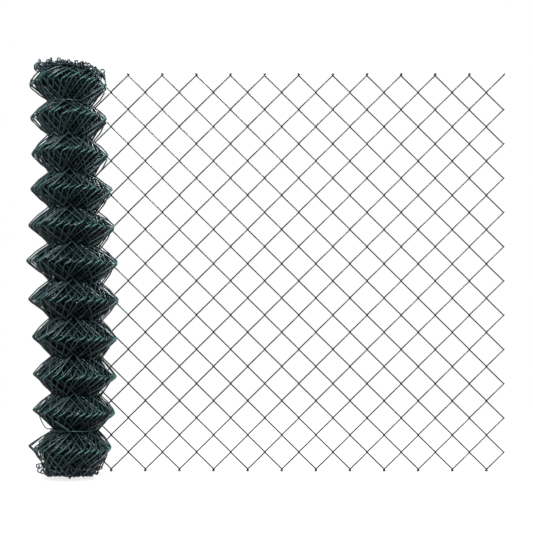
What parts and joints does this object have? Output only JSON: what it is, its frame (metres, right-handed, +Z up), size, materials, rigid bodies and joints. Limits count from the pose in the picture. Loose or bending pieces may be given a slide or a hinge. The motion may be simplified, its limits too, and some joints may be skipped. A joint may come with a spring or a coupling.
{
  "type": "roll of chain-link fencing",
  "caption": "Compact roll of dark green coated chain-link fencing standing on its end, its free end unrolled into a flat stretch of diamond mesh, with tie wires round the roll.",
  "frame": {"origin": "on the roll axis, in the plane of the lower end that it stands on", "axes": "+Z up along the roll axis, +X along the unrolled stretch away from the roll, +Y behind it"},
  "size_m": [1.175, 0.2233, 1],
  "materials": {
    "coated_wire": "steel wire in a smooth dark green plastic coat",
    "tie_wire": "softer steel wire in a dark green plastic coat"
  },
  "bodies": {
    "root": {"wound_roll": "coated_wire", "tie_wire_bottom": "tie_wire", "tie_wire_top": "tie_wire", "mesh_wire_01": "coated_wire", "mesh_wire_02": "coated_wire", "mesh_wire_03": "coated_wire", "mesh_wire_04": "coated_wire", "mesh_wire_05": "coated_wire", "mesh_wire_06": "coated_wire", "mesh_wire_07": "coated_wire", "mesh_wire_08": "coated_wire", "mesh_wire_09": "coated_wire", "mesh_wire_10": "coated_wire", "mesh_wire_11": "coated_wire", "mesh_wire_12": "coated_wire", "mesh_wire_13": "coated_wire", "mesh_wire_14": "coated_wire", "mesh_wire_15": "coated_wire", "mesh_wire_16": "coated_wire", "mesh_wire_17": "coated_wire", "mesh_wire_18": "coated_wire", "mesh_wire_19": "coated_wire", "mesh_wire_20": "coated_wire", "mesh_wire_21": "coated_wire", "mesh_wire_22": "coated_wire", "mesh_wire_23": "coated_wire", "mesh_wire_24": "coated_wire", "mesh_wire_25": "coated_wire"}
  },
  "joints": []
}
